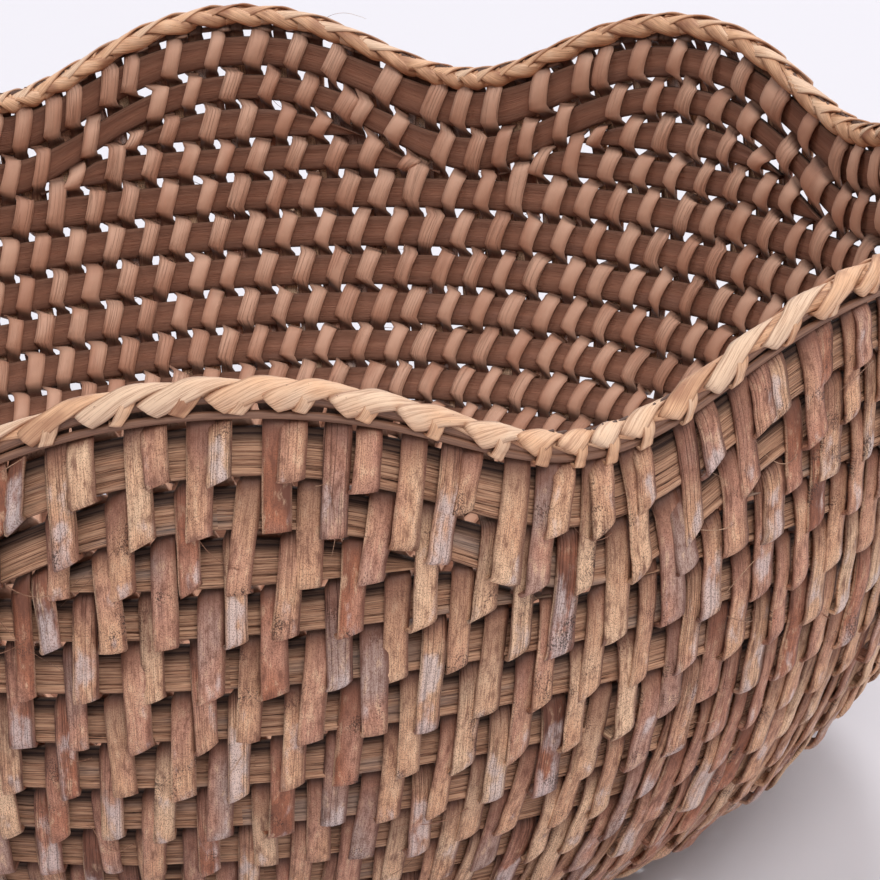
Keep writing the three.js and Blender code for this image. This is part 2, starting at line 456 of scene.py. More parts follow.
def makeStripMaterial():
    finish = stripFinish
    recipe = Recipe("split_rattan")
    axes = weaveAxes(recipe)
    across, along = axes
    tone = recipe.number("tone")
    age = recipe.number("age")
    proud = recipe.number("proud")
    side = recipe.number("side")
    inside = recipe.number("inside")
    deep = recipe.number("deep")
    seed = recipe.math("MULTIPLY", tone, 613.0)

    def streaks(scales, shift, detail=3.0, roughness=0.55):
        return recipe.streaks(axes, scales, recipe.math("ADD", seed, shift), detail, roughness)

    # colour of the strip, changing slowly along it
    slow = streaks(finish["slowScale"], 0.0, 2.0)
    shade = recipe.math("ADD", recipe.math("MULTIPLY", tone, 0.55),
                        recipe.math("MULTIPLY", slow, 0.50))
    base = recipe.ramp(shade, [
        (0.18, finish["brown"]), (0.25, finish["rust"]), (0.33, finish["rose"]),
        (0.44, finish["tan"]), (0.56, finish["straw"]), (0.64, finish["tan"]),
        (0.74, finish["rose"]), (0.82, finish["grey"]),
    ])
    grain = streaks(finish["grainScale"], 0.0, 4.0, 0.65)
    base = recipe.mix(recipe.spread(grain, 0.34, 0.60, 0.52, 0.0), base, finish["brown"])
    # smears a few millimetres long
    smear = streaks(finish["smearScale"], 20.0, 4.0, 0.6)
    base = recipe.mix(recipe.spread(smear, 0.50, 0.70, 0.0, 0.70), base, finish["brown"])
    base = recipe.mix(recipe.spread(smear, 0.32, 0.47, 0.45, 0.0), base, finish["straw"])
    # one or two grooves along most strips
    crack = streaks(finish["crackScale"], 40.0, 1.0)
    groove = recipe.spread(recipe.math("ABSOLUTE", recipe.math("SUBTRACT", crack, 0.5)),
                           0.0, 0.045, 1.0, 0.0)
    groove = recipe.math("MULTIPLY", groove, recipe.spread(age, 0.30, 0.85, 0.1, 0.9))
    base = recipe.mix(recipe.math("MULTIPLY", groove, 0.38), base, finish["brown"])
    # grey-white worn skin near the lower ends of some floats, with a painted sheen there: the pale
    # patches also stand in for the glossy reflection on the floats' lower ends
    patch = streaks(finish["patchScale"], 90.0)
    wornSkinAndSheen = recipe.math("ADD", recipe.spread(proud, 0.55, 1.0, 0.0, 0.24), patch)
    wornSkinAndSheen = recipe.math("ADD", wornSkinAndSheen, recipe.spread(age, 0.35, 0.95, -0.16, 0.04))
    wornSkinAndSheen = recipe.math("MULTIPLY", recipe.spread(wornSkinAndSheen, 0.65, 0.84, 0.0, 0.66),
                       recipe.spread(side, 0.55, 0.95, 1.0, 0.35))
    base = recipe.mix(wornSkinAndSheen, base, finish["wornSkinAndSheen"])
    # brown or pale edges, with a pale cut left edge on some strips; the right edge is darkened
    # further, painted shade as if the strip were lit from the left
    edge = recipe.mix(recipe.spread(slow, 0.40, 0.50), finish["straw"], finish["brown"])
    base = recipe.mix(recipe.spread(side, 0.80, 1.0, 0.0, 0.50), base, edge)
    base = recipe.mix(recipe.spread(across, 1.0, 1.95, 0.0, 0.70), base, finish["brown"])
    # dark specks in clusters
    speckSpace = recipe.vector(across, recipe.math("MULTIPLY", along, 0.75), seed)
    cluster = recipe.noise(speckSpace, 0.16, 2.0)
    dots = recipe.noise(speckSpace, 4.2, 2.0, 0.7)
    least = recipe.spread(cluster, 0.46, 0.70, 0.78, 0.46, False)
    speck = recipe.spread(recipe.math("SUBTRACT", dots, least), 0.0, 0.09, 0.0, 0.85)
    base = recipe.mix(speck, base, finish["speck"])
    freckle = recipe.noise(speckSpace, 5.5, 2.0, 0.6)
    base = recipe.mix(recipe.spread(freckle, 0.51, 0.61, 0.0, 0.62), base, finish["brown"])
    # painted shade where a float comes out from under its neighbours: darker the nearer it lies to
    # the wall, as if in their shadow
    base = recipe.mix(recipe.spread(proud, 0.14, 0.92, 0.92, 0.0), base, finish["brown"])
    # the inside faces get a paler, greyer colour of their own, partly painted light standing in for
    # the light and sheen on the bowl's inner wall
    rusty = recipe.spread(slow, 0.42, 0.62, 0.0, 0.45)
    innerBase = recipe.mix(rusty, finish["inner"], finish["rust"])
    base = recipe.mix(recipe.math("MULTIPLY", inside, 0.68), base, innerBase)
    # painted shade: the strip is darkened almost to black where it passes between rows
    base = recipe.mix(recipe.math("MULTIPLY", deep, 0.88), base, finish["speck"])
    recipe.join(base, recipe.shader.inputs["Base Color"])
    rough = recipe.math("SUBTRACT", recipe.spread(grain, 0.3, 0.7, 0.66, 0.50),
                        recipe.math("MULTIPLY", wornSkinAndSheen, 0.18))
    recipe.join(rough, recipe.shader.inputs["Roughness"])
    recipe.shader.inputs["Specular IOR Level"].default_value = 0.4
    relief = recipe.math("SUBTRACT", recipe.math("MULTIPLY", grain, 0.22),
                         recipe.math("MULTIPLY", groove, 0.5))
    relief = recipe.math("SUBTRACT", relief, recipe.math("MULTIPLY", speck, 0.1))
    recipe.bump(relief, 0.4 * mm)
    return recipe.material


coreFinish = {
    "light": (0.74, 0.430, 0.270),
    "middle": (0.42, 0.200, 0.115),
    # dark of the fibre lines, also the colour of the painted shade on the core
    "darkGrainAndShade": (0.030, 0.013, 0.009),
    "grey": (0.38, 0.31, 0.27),
    # browner, darker inner face of the cores, partly painted shade
    "inner": (0.35, 0.150, 0.096),
    "fibreScale": (4.6, 0.10),
    "blotchScale": (0.15, 0.03),
}


def makeCoreMaterial():
    finish = coreFinish
    recipe = Recipe("core_cane")
    axes = weaveAxes(recipe)
    row = recipe.math("MULTIPLY", recipe.number("tone"), 377.0)
    paintedShade = recipe.number("paintedShade")
    inside = recipe.number("inside")
    fibre = recipe.streaks(axes, finish["fibreScale"], row, 5.0, 0.66)
    blotch = recipe.streaks(axes, finish["blotchScale"], row, 2.0)
    base = recipe.ramp(fibre, [(0.35, finish["darkGrainAndShade"]), (0.44, finish["middle"]),
                               (0.58, finish["light"])])
    base = recipe.mix(recipe.spread(blotch, 0.54, 0.70, 0.0, 0.5), base, finish["grey"])
    # the inner face is browner and darker, partly painted shade for the recesses between the strips
    # on the inside
    base = recipe.mix(recipe.math("MULTIPLY", inside, 0.82), base, finish["inner"])
    # painted shade darkens the grooves, the row's top and the edges of the inner face
    base = recipe.mix(recipe.math("MULTIPLY", paintedShade, 0.9, True), base, finish["darkGrainAndShade"])
    recipe.join(base, recipe.shader.inputs["Base Color"])
    recipe.shader.inputs["Roughness"].default_value = 0.75
    recipe.shader.inputs["Specular IOR Level"].default_value = 0.3
    recipe.bump(fibre, 0.5 * mm)
    return recipe.material


plaitFinish = {
    "pale": (0.82, 0.480, 0.280),
    "cream": (0.85, 0.595, 0.410),
    "tan": (0.32, 0.130, 0.068),
    "speck": (0.12, 0.055, 0.032),
    "grainScale": (7.0, 0.14),
    "slowScale": (0.3, 0.12),
}


def makePlaitMaterial():
    finish = plaitFinish
    recipe = Recipe("plait_strap")
    axes = weaveAxes(recipe)
    across, along = axes
    tone = recipe.number("tone")
    side = recipe.number("side")
    seed = recipe.math("MULTIPLY", tone, 431.0)
    grain = recipe.streaks(axes, finish["grainScale"], seed, 4.0, 0.6)
    slow = recipe.streaks(axes, finish["slowScale"], seed, 2.0)
    shade = recipe.math("ADD", recipe.math("MULTIPLY", tone, 0.45),
                        recipe.math("MULTIPLY", slow, 0.75))
    base = recipe.ramp(shade, [(0.28, finish["tan"]), (0.48, finish["pale"]),
                               (0.76, finish["cream"])])
    base = recipe.mix(recipe.spread(grain, 0.32, 0.58, 0.60, 0.0), base, finish["tan"])
    base = recipe.mix(recipe.spread(side, 0.84, 1.0, 0.0, 0.60), base, finish["tan"])
    speckSpace = recipe.vector(across, recipe.math("MULTIPLY", along, 0.6), seed)
    dots = recipe.noise(speckSpace, 2.6, 2.0, 0.7)
    speck = recipe.spread(dots, 0.70, 0.76, 0.0, 0.75)
    base = recipe.mix(speck, base, finish["speck"])
    recipe.join(base, recipe.shader.inputs["Base Color"])
    recipe.shader.inputs["Roughness"].default_value = 0.5
    recipe.shader.inputs["Specular IOR Level"].default_value = 0.4
    recipe.bump(grain, 0.18 * mm)
    return recipe.material


rodFinish = {
    "brown": (0.13, 0.055, 0.032),
    "light": (0.30, 0.155, 0.095),
    "grainScale": (3.0, 0.08),
}


def makeRodMaterial():
    recipe = Recipe("rim_cane")
    grain = recipe.streaks(weaveAxes(recipe), rodFinish["grainScale"], 0.0)
    base = recipe.ramp(grain, [(0.3, rodFinish["brown"]), (0.7, rodFinish["light"])])
    recipe.join(base, recipe.shader.inputs["Base Color"])
    recipe.shader.inputs["Roughness"].default_value = 0.55
    recipe.bump(grain, 0.2 * mm)
    return recipe.material


stripMaterial = makeStripMaterial()
coreMaterial = makeCoreMaterial()
plaitMaterial = makePlaitMaterial()
rodMaterial = makeRodMaterial()
print("stage: materials made")

# Core rows: flat canes with ridges, each row leaning out at its foot
core = {
    "topGap": 1.55 * mm,
    "footGap": 0.75 * mm,
    "half": 0.80 * mm,  # half the thickness of a cane
    "lean": 0.70 * mm,
    "leanFade": (0.15, 4 * mm, 34 * mm),  # least share, start past the wall's foot, length
    "ridges": 6,
    "ridgeDepth": 0.16 * mm,
    "ridgeSteps": 4,
    "strandShare": 0.22,  # a round strand lies along the foot of each row
    "strandOut": 0.42 * mm,
    "strandPoints": 6,
    "backPoints": 9,
    "backDepth": 0.62,
    "backWave": 0.3,
    "backCorner": 0.4,
    "steps": 330,
    "waver": 0.020,
    "uneven": 0.14,
    "sway": 0.12 * mm,
    "groovePaintedShade": 0.4,
    "innerShift": 0.05,  # so that the inner face doesn't show the outer one's grain
    "drawScale": 100.0,  # the section is spun this much larger
}


# How far a row leans out at its foot; the lean fades out towards the floor
def leanAt(distance):
    least, past, length = core["leanFade"]
    return core["lean"] * np.clip((wallLength + past - distance) / length, least, 1)


# Section of a core as (share of its height, distance out), round the outside and back
def coreSection():
    outline = []
    ridged = 1 - core["strandShare"]
    count = core["ridges"] * core["ridgeSteps"]
    for i in range(count):
        crest = abs(math.sin(math.pi * i / core["ridgeSteps"]))
        outline.append((i / count * ridged, core["half"] - core["ridgeDepth"] * (1 - crest)))
    last = core["strandPoints"] - 1
    for i in range(core["strandPoints"]):
        rounding = math.sin(math.pi * (0.04 + 0.90 * i / last))
        out = core["half"] * 0.4 + core["strandOut"] * 2 * rounding
        outline.append((ridged + core["strandShare"] * i / last, out))
    last = core["backPoints"] - 1
    for i in range(core["backPoints"]):
        wave = abs(math.sin(math.pi * i / 2))
        corner = core["backCorner"] if i in (0, last) else 1
        depth = core["backDepth"] + core["backWave"] * wave
        outline.append((1 - i / last, -core["half"] * depth * corner))
    return outline


# An uneven wave round the ring, the same for the same number
def wobble(angle, number):
    rng = random.Random(number)
    total = 0 * angle
    for k in (3, 5, 9, 17, 31):
        total = total + math.pow(k, -0.5) * np.sin(k * angle + rng.uniform(0, tau))
    return total


def makeCoreMesh(name, top, foot, start, end, number):
    steps = core["steps"]
    if end - start < tau - 0.001:
        steps = max(6, int(steps * (end - start) / tau))
    section = [(share, out * core["drawScale"]) for share, out in coreSection()]
    mesh, angle, out, share = spinRing(name, section, end - start, steps)
    out = out / core["drawScale"]
    # painted shade lies in the grooves, on the row's top and at the edges of its inner face, where
    # the rows above and the floats' ends would shade the core
    paintedShade = core["groovePaintedShade"] * np.clip((0.88 - out / core["half"]) / 0.22, 0, 1)
    paintedShade = paintedShade + np.clip((0.40 - share) / 0.24, 0, 1)
    inside = np.clip(-out / core["half"] / 0.3, 0, 1)
    paintedShade = np.where(inside > 0, np.abs(share - 0.5) * 1.2, paintedShade)
    angle = angle + start
    share = share + core["waver"] * wobble(angle + 9 * share, number) * np.sin(math.pi * share)
    upper = top(angle) + core["topGap"]
    lower = foot(angle) - core["footGap"]
    distance = upper + (lower - upper) * share
    out = out * (1 + core["uneven"] * wobble(angle + 23 * share, number + 7))
    out = out + leanAt(distance) * (2 * share - 1) + core["sway"] * wobble(angle, number + 3)
    setPoints(mesh, onWall(angle, distance, out))
    shift = np.where(inside > 0, core["innerShift"], 0)
    mapRing(mesh, angle, distance, share * lines["rowPitch"] + shift)
    setNumber(mesh, "tone", np.full(len(share), random.Random(number).random()))
    setNumber(mesh, "paintedShade", paintedShade)
    setNumber(mesh, "inside", inside)
    return mesh


# Weave map of a ring: across it and along it, without a jump where the ring closes
def mapRing(mesh, angle, distance, across):
    corner = np.empty(len(mesh.loops), dtype=np.int32)
    mesh.loops.foreach_get("vertex_index", corner)
    counts = np.empty(len(mesh.polygons), dtype=np.int32)
    mesh.polygons.foreach_get("loop_total", counts)
    starts = np.empty(len(mesh.polygons), dtype=np.int32)
    mesh.polygons.foreach_get("loop_start", starts)
    first = np.repeat(angle[corner[starts]], counts)
    turned = angle[corner]
    turned = turned - tau * np.round((turned - first) / tau)
    along = turned * radiusOf(distance)[corner]
    values = np.stack([across[corner], along], axis=1).astype(np.float32)
    mesh.uv_layers.new(name="weave").data.foreach_set("uv", values.ravel())


def makeRows():
    rows = [("rim_row_1", rodFoot, firstFoot), ("rim_row_2", firstFoot, secondFoot)]
    for i in range(levelCount):
        rows.append((f"wall_row_{i + 1}", levelLine(i), levelLine(i + 1)))
    for number, (node, top, foot) in enumerate(rows):
        mesh = makeCoreMesh("core_" + node, top, foot, -math.pi, math.pi, number)
        addPiece("core_" + node, mesh, coreMaterial, [node])
    for i in range(bowl["lobes"]):
        middle = tau / bowl["lobes"] * i
        node = f"lobe_rows_{i + 1}"
        shortRows = (("core_upper_", secondFoot, upperShortFoot, lines["upperShortSpan"], 40),
                     ("core_lower_", lowerShortTop, levelTop, lines["lowerShortSpan"], 60))
        for name, top, foot, span, number in shortRows:
            mesh = makeCoreMesh(name + node, top, foot, middle - span, middle + span, number + i)
            addPiece(name + node, mesh, coreMaterial, [node])
    for i in range(floorCount - 1):
        name = f"core_floor_{i + 1}"
        mesh = makeCoreMesh(name, floorLine(i), floorLine(i + 1), -math.pi, math.pi, 80 + i)
        addPiece(name, mesh, coreMaterial, ["floor"] if i == 0 else [])


makeRows()
print("stage: core rows made")

# Woven strips: over two rows, under one
strips = {
    "count": 306,
    "solidCount": 30,  # strips among the solids
    "sectors": 6,  # pieces that the strips are shared out over
    "width": 3.95 * mm,
    "footWidth": 2.4 * mm,
    "widths": (0.86, 1.12),  # least and greatest share of the width
    "thickness": 0.62 * mm,
    "slant": (0.058, 0.03, 0.02),  # of the ends: mean, spread and least, in rows
    "swell": (0.80, 1.22),  # of a float, as a share of its distance out
    "innerSwell": 0.10,  # a strip is wider behind a row
    "pinch": (0.05, 0.25),  # and narrower where it passes between rows
    "crown": (0.12, 0.55),
    "innerCrown": 0.70,
    "flatten": (0.40, 2 * mm, 30 * mm),  # least share, start past the wall's foot, length
    "fan": 0.027,
    "fanCrowd": 0.25,
    "fanShare": 0.7,  # of the fan, where a strip's rows are read off
    "fanFoot": 50 * mm,
    "drift": -0.15 * mm,  # sideways, for each row down the wall
    "lean": 0.50 * mm,  # unit of the sideways swing, whose shares follow
    "jitter": 1.1,
    "swingStart": 1.0,
    "swingEnd": (-1.0, 1.2),
    "innerLean": 2.7,
    "tilt": (-0.06, 0.20, 0.08),  # of a float in mm: mean, spread, change along it
    "endShift": (-0.07, 0.035),  # of a float's end, in rows
    "shortEnd": -0.36,  # where a float over one row may start to end
    "head": 4.2 * mm,  # hidden behind the rod
    "leastStep": 0.4 * mm,
    "crossSteps": 4,
    "shares": (0, 0.05, 0.11, 0.22, 0.40, 0.60, 0.78, 0.89, 0.95),
    "before": (-0.75, -0.45, -0.2),
    "after": (0, 0.2, 0.4),
    "seed": 11,
}


# The rows that a strip crosses from the rim down: the line at each foot and a number that
# falls to 0 at the first level row. A short row's thin end counts with the row below it.
def rowsUnder(angle):
    feet = [rodFoot, firstFoot, secondFoot]
    if upperShortFoot(angle) - secondFoot(angle) > lines["leastRow"]:
        feet.append(upperShortFoot)
    if levelTop(angle) - lowerShortTop(angle) > lines["leastRow"]:
        feet.append(levelTop)
    above = len(feet)
    feet += [levelLine(i + 1) for i in range(levelCount)]
    return [(foot, i - above) for i, foot in enumerate(feet)]


# Whether a strip runs behind each row: behind one row in three, a step further on each strip
def turnsOf(rows, number):
    return [(count + number) % 3 == 0 for foot, count in rows]


# Keys of a strip's way, as (place in rows, distance out in millimetres): how it comes in, the
# start and end of a float and of a run behind a row, and how it goes out. The first float
# under the rod starts in its own way where it covers one row.
wayIn = ((-1.9, -0.3), (-0.7, -0.3))
overStart = ((0.00, -0.15), (0.11, 0.75), (0.45, 1.70))
rimStart = ((0.00, 0.20), (0.12, 1.45), (0.32, 2.30))
overEnd = ((-0.50, 2.75), (-0.16, 3.30), (-0.045, 2.70), (0.015, -0.2))
underStart = ((0.10, -1.60), (0.20, -2.25), (0.40, -2.50))
underEnd = ((-0.30, -2.15), (-0.10, -1.00))
wayOut = ((0.25, -0.6), (0.9, -0.3))


# Runs of rows that a strip passes on the same side, as (first row, row after the last, behind)
def runsOf(behind, first):
    runs = []
    i = first
    while i < len(behind):
        start = i
        while i < len(behind) and behind[i] == behind[start]:
            i += 1
        runs.append((start, i, behind[start]))
    return runs


# A strip's way as keys: its distance out, its shift sideways and its tilt, against its
# place in rows
def wayOf(behind, first, rng):
    way = [(first + place, value) for place, value in wayIn]
    swing = [(way[0][0], 0.0)]
    tilt = [(way[0][0], 0.0)]
    for start, end, under in runsOf(behind, first):
        jitter = rng.gauss(0, strips["jitter"])
        if under:
            way += [(start + place, value) for place, value in underStart]
            way += [(end + place, value) for place, value in underEnd]
            swing.append((start + 0.10, jitter - strips["innerLean"]))
            swing.append((end - 0.20, jitter + strips["innerLean"]))
            tilt.append((start + 0.5, 0.0))
            continue
        swell = rng.uniform(*strips["swell"])
        shift = rng.uniform(*strips["endShift"])
        short = start == first and end - start == 1
        for place, value in rimStart if short else overStart:
            hidden = start == first and place == 0
            way.append((start + place, 0.2 if hidden else value * (swell if value > 1 else 1)))
        for place, value in overEnd:
            if end < len(behind) or place < -0.1:
                place = max(place, strips["shortEnd"]) if end - start == 1 else place
                way.append((end + place + shift, value * (swell if value > 0 else 1)))
        swing.append((start + 0.05, jitter + strips["swingStart"]))
        swing.append((end - 0.1, jitter + rng.gauss(*strips["swingEnd"])))
        mean, spread, change = strips["tilt"]
        lifted = rng.gauss(mean, spread)
        tilt += [(start + 0.35, lifted), (end - 0.1, lifted + rng.gauss(0, change))]
    way += [(len(behind) + place, value) for place, value in wayOut]
    swing.append((way[-1][0], 0.0))
    tilt.append((way[-1][0], 0.0))
    return np.array(way), np.array(swing) * (1, strips["lean"]), np.array(tilt) * (1, mm)


# Distances down the wall at places in rows, along the lines of the rows at each angle
def downAt(rows, place, angle, start):
    lineAt = [start(angle) - strips["head"], start(angle)]
    lineAt += [foot(angle) for foot, count in rows]
    lineAt.append(lineAt[-1] + levelPitch)
    for i in range(2, len(lineAt)):
        lineAt[i] = np.maximum(lineAt[i], lineAt[i - 1] + strips["leastStep"])
    lineAt = np.stack(lineAt)
    index = np.clip(np.floor(place).astype(int) + 1, 0, len(rows) + 1)
    every = np.arange(len(place))
    upper = lineAt[index, every]
    return upper + (lineAt[index + 1, every] - upper) * (place + 1 - index)


ribbons = {}


# The ribbon of a strip over so many rows: the mesh, and each point's place across and along
def makeStripRibbon(rowCount):
    if rowCount not in ribbons:
        body = [i + share for i in range(rowCount) for share in strips["shares"]]
        tail = [rowCount + share for share in strips["after"]]
        places = np.array([*strips["before"], *body, *tail])
        mesh, across, step = makeRibbon(strips["crossSteps"], len(places) - 1)
        ribbons[rowCount] = mesh, across, places[step]
    return ribbons[rowCount]


# One strip, at the angle deep at its foot and moved by fan at the rim. Its floats' ends are
# cut on a slant, which fades behind the rows.
def addStrip(bundle, rows, start, behind, first, deep, fan, width, flatten, rng):
    template, across, place = makeStripRibbon(len(rows))
    way, swing, tilt = wayOf(behind, first, rng)
    level = throughKeys(place, way[:, 0], way[:, 1])
    mean, spread, least = strips["slant"]
    slant = max(least, rng.gauss(mean, spread)) * np.clip((level + 2.6) / 1.6, 0.25, 1)
    slanted = place - slant * across
    middle = np.full_like(place, deep + strips["fanShare"] * fan)
    down = downAt(rows, slanted, middle, start)
    sunk = np.clip((down - rimLine(middle)) / strips["fanFoot"], 0, 1)
    fanned = fan * (1 - sunk) ** 2
    half = width(down) / 2 * rng.uniform(*strips["widths"])
    half = half * (1 + 0.05 * np.sin(place * 1.7 + 50 * rng.random()))
    half = half * (1 + strips["innerSwell"] * np.clip(-level - 1.0, 0, 1))
    half = half * (1 - rng.uniform(*strips["pinch"]) * np.exp(-((level + 0.5) / 0.7) ** 2))
    sideways = np.interp(place, swing[:, 0], swing[:, 1])
    if first:
        sideways = sideways + strips["drift"] * down / lines["rowPitch"]
    angle = deep + fanned + (sideways + across * half) / np.maximum(radiusOf(down), 4 * mm)
    distance = downAt(rows, slanted, angle, start)
    out = level * mm
    crown = np.where(level > 0, rng.uniform(*strips["crown"]), strips["innerCrown"]) * mm
    out = out * flatten(distance) + crown * (0.5 - across ** 2) * np.clip(level, -1, 1)
    out = out + np.interp(place, tilt[:, 0], tilt[:, 1]) * across
    # deep marks where the strip passes between rows, which the material darkens there as painted
    # shade
    bundle.add(template, onWall(angle, distance, out),
               np.stack([across * half, down + rng.random()], axis=1),
               tone=rng.random(), age=rng.random(),
               proud=np.clip(level / 2.9, 0, 1), side=np.abs(across),
               inside=np.clip(-level / 0.6, 0, 1),
               deep=np.clip(1 - np.abs(level + 0.45) / 1.45, 0, 1))


def makeWallStrips():
    rng = random.Random(strips["seed"])
    perSector = strips["count"] // strips["sectors"]
    solidShare = strips["solidCount"] // strips["sectors"]

    def width(down):
        share = np.clip(down / wallLength, 0, 1)
        return strips["width"] + (strips["footWidth"] - strips["width"]) * share ** 3

    def flatten(distance):
        least, past, length = strips["flatten"]
        return np.clip((wallLength + past - distance) / length, least, 1)

    for sector in range(strips["sectors"]):
        bundle = Bundle()
        for number in range(sector * perSector, (sector + 1) * perSector):
            deep = tau / strips["count"] * (number + 0.5)
            fan = closeUp(deep, strips["fan"], strips["fanCrowd"])
            rows = rowsUnder(deep + strips["fanShare"] * fan)
            addStrip(bundle, rows, rodTop, turnsOf(rows, number), 1, deep, fan, width, flatten, rng)
        mesh = bundle.build(f"strips_{sector + 1}")
        mesh.flip_normals()
        nodes = [f"strip_{sector * solidShare + i + 1}" for i in range(solidShare)]
        piece = addPiece(f"strips_{sector + 1}", mesh, stripMaterial, nodes)
        solidify(piece, strips["thickness"])


makeWallStrips()
print("stage: wall strips woven")

# Strips of the base, in rings of fewer strips towards its middle, with bars laid across it
base = {
    "rings": ((0, 4, 150), (4, 7, 72)),  # first row, row after the last, strips
    "cover": 0.92,
    "widest": 3.4 * mm,
    "flat": 0.38,  # share of the weave's relief
    "bars": 6,
    "barLength": 17 * mm,
    "barWidth": 3.4 * mm,
    "barRise": 0.28 * mm,  # of each bar over the one under it
    "barSteps": 12,
    "seed": 31,
}


def makeBase():
    rng = random.Random(base["seed"])
    bundle = Bundle()

    def width(down):
        return np.minimum(radiusOf(down) * tau / count * base["cover"], base["widest"])

    def flatten(distance):
        return base["flat"]

    for start, end, count in base["rings"]:
        rows = [(floorLine(i + 1), i) for i in range(start, end)]
        for number in range(count):
            addStrip(bundle, rows, floorLine(start), turnsOf(rows, number), 0, tau / count * number,
                     0, width, flatten, rng)
    ribbon, across, step = makeRibbon(strips["crossSteps"], base["barSteps"])
    along = 2 * step / base["barSteps"] - 1
    for i in range(base["bars"]):
        turn = math.pi * i / base["bars"]
        x = along * base["barLength"]
        y = across * base["barWidth"] / 2
        rise = bowl["wallFoot"] + base["barRise"] * (i - base["bars"] / 2)
        height = rise + (bowl["wallFoot"] - rise) * np.abs(along) ** 3
        points = np.stack([x * math.cos(turn) - y * math.sin(turn),
                           x * math.sin(turn) + y * math.cos(turn), height], axis=1)
        bundle.add(ribbon, points, np.stack([y, x + rng.random()], axis=1), tone=rng.random(),
                   age=rng.random(), proud=0.6, side=np.abs(across), inside=0.5, deep=0.0)
    mesh = bundle.build("base_strips")
    mesh.flip_normals()
    piece = addPiece("base_strips", mesh, stripMaterial, ["floor"])
    solidify(piece, strips["thickness"])


makeBase()
print("stage: base woven")

# Loose fibres that stand off the wall, most of them near the feet of the rows
fibres = {
    "count": 150,
    "length": (5 * mm, 17 * mm),
    "width": 0.15 * mm,
    "thickness": 0.10 * mm,
    "steps": 14,
    "start": 2.7 * mm,  # distance out of the root
    "rise": (0.6 * mm, 3.2 * mm),
    "rows": (0, 0, 1, 2, 2, 3, 4, 5, 6, 7, 8),  # rows at whose top they come out
    "seed": 47,
}


def makeFibres():
    rng = random.Random(fibres["seed"])
    bundle = Bundle()
    ribbon, across, step = makeRibbon(1, fibres["steps"])
    along = step / fibres["steps"]
    rimLines = (rodFoot, firstFoot, secondFoot)
    for _ in range(fibres["count"]):
        angle = rng.uniform(0, tau)
        row = rng.choice(fibres["rows"])
        line = rimLines[row] if row < len(rimLines) else levelLine(row - len(rimLines))
        down = float(line(angle))
        turn = rng.gauss(0, 0.5) + rng.choice([0, math.pi])
        length = rng.uniform(*fibres["length"])
        bend = rng.gauss(0, 0.6)
        rise = rng.uniform(*fibres["rise"])
        heading = turn + bend * (along - 0.5)
        u = length * along * np.cos(heading)
        v = length * along * np.sin(heading) + rng.gauss(0, 0.8) * mm
        half = fibres["width"] / 2 * (1 - 0.8 * along)
        v = v + across * half
        arch = np.sin(math.pi * np.minimum(along * 1.15, 1))
        out = fibres["start"] + rise * arch - 0.6 * mm * along
        points = onWall(angle + u / bowl["rimRadius"], down + v, out)
        bundle.add(ribbon, points, np.stack([across * half, length * along], axis=1),
                   tone=rng.uniform(0.35, 0.75), age=0.0, proud=0.6, side=1.0, inside=0.0, deep=0.0)
    mesh = bundle.build("loose_fibres")
    piece = addPiece("loose_fibres", mesh, stripMaterial, ["strip_1"])
    solidify(piece, fibres["thickness"])


makeFibres()
print("stage: loose fibres laid")

# The brown cane under the plait
rod = {"sides": 8, "steps": 400, "out": 1.25 * mm, "sway": 0.12 * mm, "seed": 5}


def makeRod():
    mesh, angle, out, height = spinRing("rim_cane", circleOf(rod["sides"]), tau, rod["steps"])
    half = lines["rodDiameter"] / 2
    middle = (rodTop(angle) + rodFoot(angle)) / 2
    distance = middle - height * half + rod["sway"] * wobble(angle, rod["seed"])
    setPoints(mesh, onWall(angle, distance, out * half + rod["out"]))
    mapRing(mesh, angle, distance, height * half)
    addPiece("rim_cane", mesh, rodMaterial, ["rim_rod"])


makeRod()

# The plait: a flat strap sewn round the rim. Its outer runs start in a folded end over the
# brown cane and rise to the right, its inner runs cross under them on the top of the rim,
# and short runs come out below the outer ones.
plait = {
    "wraps": 112,
    "fan": 0.024,
    "fanCrowd": 0.5,
    "strapWidth": 3.0 * mm,
    "innerWidth": 3.0 * mm,
    "shortWidth": 2.3 * mm,
    "thickness": 0.42 * mm,
    "middle": 2.85 * mm,  # of the plait, below the rim's line
    "halfHeight": 1.8 * mm,
    "halfDepth": 2.0 * mm,
    "guideTurns": (60, 341, 2),  # degrees round the plait: from, to, step
    "below": 6 * mm,  # how far the guide runs on below the plait
    "outerReach": 2.5,  # wraps that a run covers along the rim
    "innerReach": 2.3,
    "shortReach": (6.2 * mm, 1.0 * mm),  # on a lobe, and more than that in a trough
    "shortTurn": (46, 30, 4),  # degrees on a lobe, more in a trough, spread
    "outerStart": (0.15, 1.5, 0.15),  # millimetres on a lobe, more in a trough, spread
    "shortStart": (-1.1, -0.45, 0.25),
    "outerLift": (-0.6, 0.85, 1.05, 1.0, 0.70, 0.40, 0.1),
    "innerLift": (0.2, 0.8, 0.90, 0.30, -0.1, -0.1, -0.5),
    "shortLift": (-0.7, 0.60, 0.85, 0.55, 0.1),
    "waist": 0.14,
    "tilt": 0.30 * mm,
    "bow": 0.06 * mm,
    "cut": 0.8 * mm,
    "shortCut": 0.35 * mm,
    "along": 30,
    "across": 4,
    "heartSides": 12,
    "heartSteps": 240,
    "heartInset": 0.4 * mm,
    "seed": 23,
}


